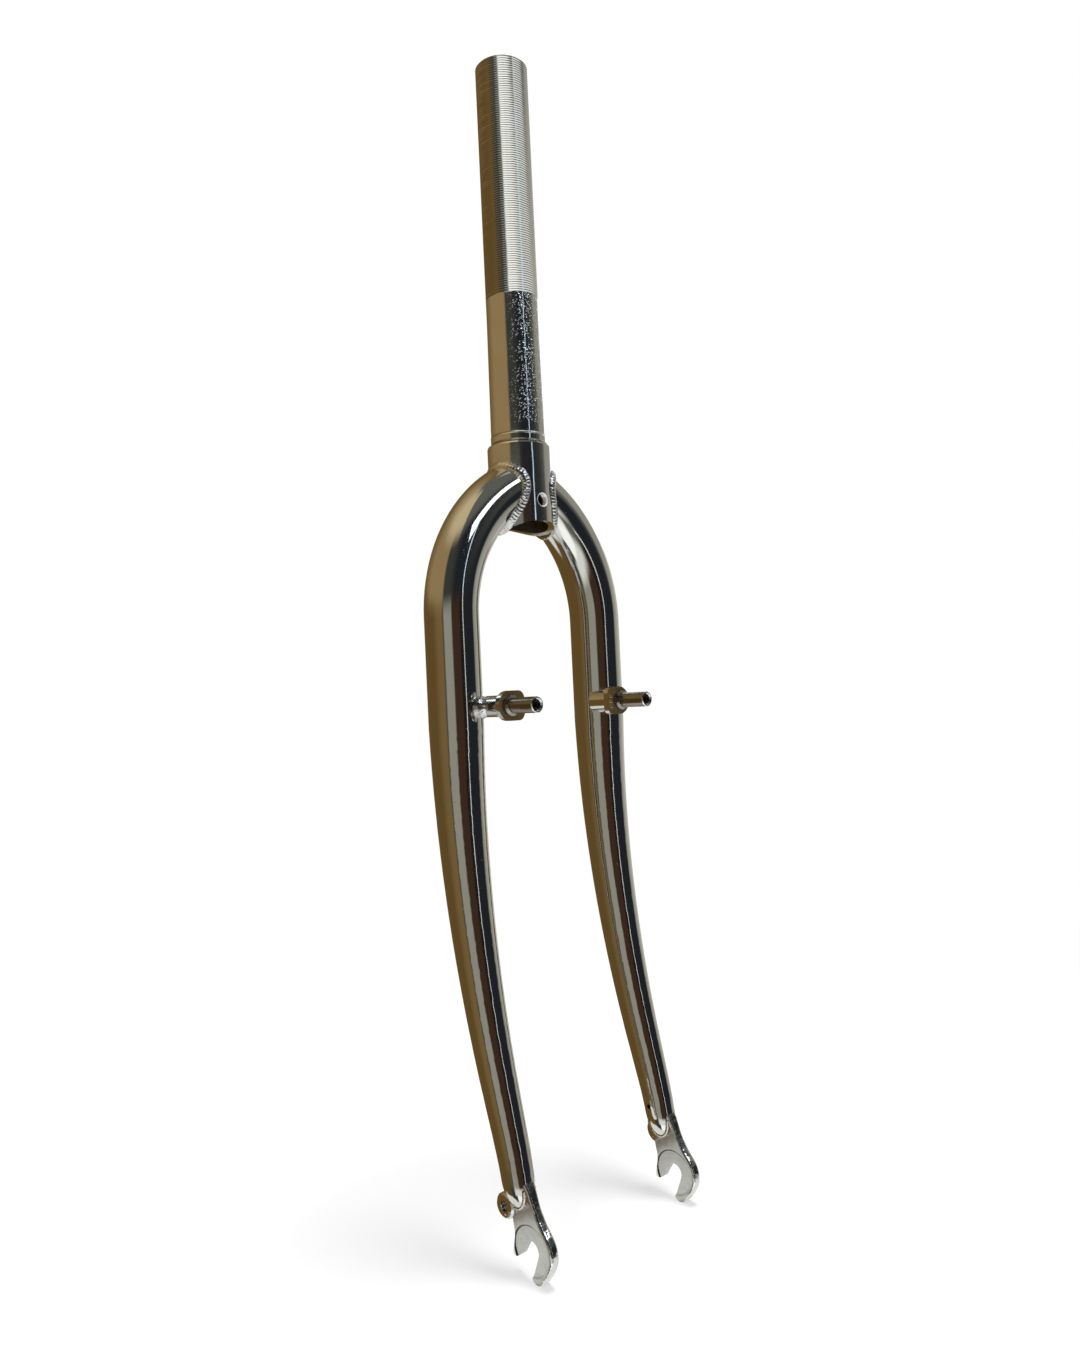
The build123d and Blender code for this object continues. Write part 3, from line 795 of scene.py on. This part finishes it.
def facing_card(name, material, turn, lift, wide, tall):
    """Card in reflections that faces the crown, with its middle and size in degrees seen from there."""
    turn = math.radians(turn)
    lift = math.radians(lift)
    towards = Vector((math.sin(turn) * math.cos(lift), -math.cos(turn) * math.cos(lift), math.sin(lift)))
    middle = CROWN_SPOT + towards * CARD_DISTANCE
    across = Vector((math.cos(turn), math.sin(turn), 0))
    rise = across.cross(towards)
    half_wide = across * CARD_DISTANCE * math.tan(math.radians(wide / 2))
    half_tall = rise * CARD_DISTANCE * math.tan(math.radians(tall / 2))
    corners = [
        middle - half_wide - half_tall, middle + half_wide - half_tall,
        middle + half_wide + half_tall, middle - half_wide + half_tall]
    reflections_only(stage_card(name, corners, material))


FLOOR_GREY = (0.86, 0.86, 0.86, 1.0)
WORLD_GREY = (0.4, 0.4, 0.4, 1.0)
WHITE = (1.0, 1.0, 1.0, 1.0)

# Floor in metres, and the distances in millimetres over which it turns white to the camera
FLOOR_Z = cad_box[0][2] - 0.2 * MM
FLOOR_HALF = 40.0
WHITE_FROM = 420
WHITE_FULL = 900

# Patches of floor that only the metal sees, and how far they lie from the dropouts, in millimetres
PATCH_RADIUS = 30
PATCH_SHIFT_X = -14
PATCH_SHIFT_Y = 26
PATCH_CORNERS = 32


def add_floor_patch(dropout_x, material):
    """White floor close under a dropout, as its metal shows it."""
    rim = []
    for i in range(PATCH_CORNERS):
        turn = 2 * math.pi * i / PATCH_CORNERS
        x = dropout_x + PATCH_SHIFT_X + PATCH_RADIUS * math.cos(turn)
        y = AXLE_Y + PATCH_SHIFT_Y + PATCH_RADIUS * math.sin(turn)
        rim.append((x * MM, y * MM, FLOOR_Z))
    reflections_only(stage_card("floor_patch", rim, material))


def add_floor():
    """Pale floor that keeps the shadow, and turns white to the camera away from the fork."""
    material, finish = new_finish("pale_floor")
    seen = finish.node("ShaderNodeLightPath", output="Is Camera Ray")
    matt = finish.node("ShaderNodeBsdfDiffuse", inputs={"Color": FLOOR_GREY, "Roughness": 1.0})
    white = finish.node("ShaderNodeEmission", inputs={"Color": WHITE, "Strength": 1.0})
    away = finish.node("ShaderNodeVectorMath", {"operation": "LENGTH"}, {0: finish.place()}, "Value")
    share = seen * (0.5 + 0.5 * away.smooth(WHITE_FROM, WHITE_FULL))
    paint = finish.node("ShaderNodeMixShader", inputs={0: share, 1: matt, 2: white})
    finish.node("ShaderNodeOutputMaterial", inputs={"Surface": paint})
    material.cycles.emission_sampling = "NONE"
    signs = ((-1, -1), (1, -1), (1, 1), (-1, 1))
    corners = [(x * FLOOR_HALF, y * FLOOR_HALF, FLOOR_Z) for x, y in signs]
    floor = stage_card("floor", corners, material)
    floor.visible_glossy = False


def light_world():
    """Soft grey light all round, which shows as a white backdrop."""
    world = bpy.data.worlds.new("studio")
    world.use_nodes = True
    bpy.context.scene.world = world
    finish = Finish(world.node_tree)
    seen = finish.node("ShaderNodeLightPath", output="Is Camera Ray")
    mirrored = finish.node("ShaderNodeLightPath", output="Is Glossy Ray")
    through = finish.node("ShaderNodeLightPath", output="Is Transmission Ray")
    sky = finish.blend(seen.larger(mirrored).larger(through), WORLD_GREY, WHITE)
    backdrop = finish.node("ShaderNodeBackground", inputs={"Color": sky, "Strength": 1.0})
    finish.node("ShaderNodeOutputWorld", inputs={"Surface": backdrop})


LIGHT_AIM = Vector((0, 0, -0.3))


def area_light(name, spot, size, power):
    """Soft round lamp aimed at the fork; the metal doesn't mirror it."""
    lamp = bpy.data.lights.new(name, "AREA")
    lamp.shape = "DISK"
    lamp.size = size
    lamp.energy = power
    light = bpy.data.objects.new(name, lamp)
    light.location = spot
    light.rotation_euler = (LIGHT_AIM - Vector(spot)).to_track_quat("-Z", "Y").to_euler()
    light.visible_glossy = False
    bpy.context.scene.collection.objects.link(light)


place_camera()
add_room()
white_glow = glow_finish("white_card", tint(246, 248, 250), strength=1.6)
lamp_glow = glow_finish("lamp_panel", tint(235, 243, 255), strength=3.2)
strip_glow = glow_finish("lamp_strip", tint(205, 228, 246), strength=1.5)
dim_glow = glow_finish("dim_strip", PAPER, strength=1.6)
paper_glow = glow_finish("paper_floor", PAPER, strength=1 / PLATE_SHARE)
facing_card("lamp_panel", lamp_glow, turn=22, lift=38, wide=46, tall=11)
facing_card("lamp_strip", strip_glow, turn=7, lift=22, wide=3.0, tall=24)
facing_card("low_strip", dim_glow, turn=8, lift=-6, wide=2.8, tall=32)
facing_card("floor_strip", strip_glow, turn=23, lift=-46, wide=4, tall=30)
facing_card("side_card", white_glow, turn=121, lift=22, wide=24, tall=17)
for dropout_x in (-BLADE_X, BLADE_X):
    add_floor_patch(dropout_x, paper_glow)
add_floor()
light_world()
area_light("overhead_light", spot=(0.2, -0.25, 1.6), size=0.6, power=36)
area_light("side_light", spot=(-1.6, -0.4, 0.5), size=1.2, power=10)

bpy.context.scene.view_settings.view_transform = "Standard"
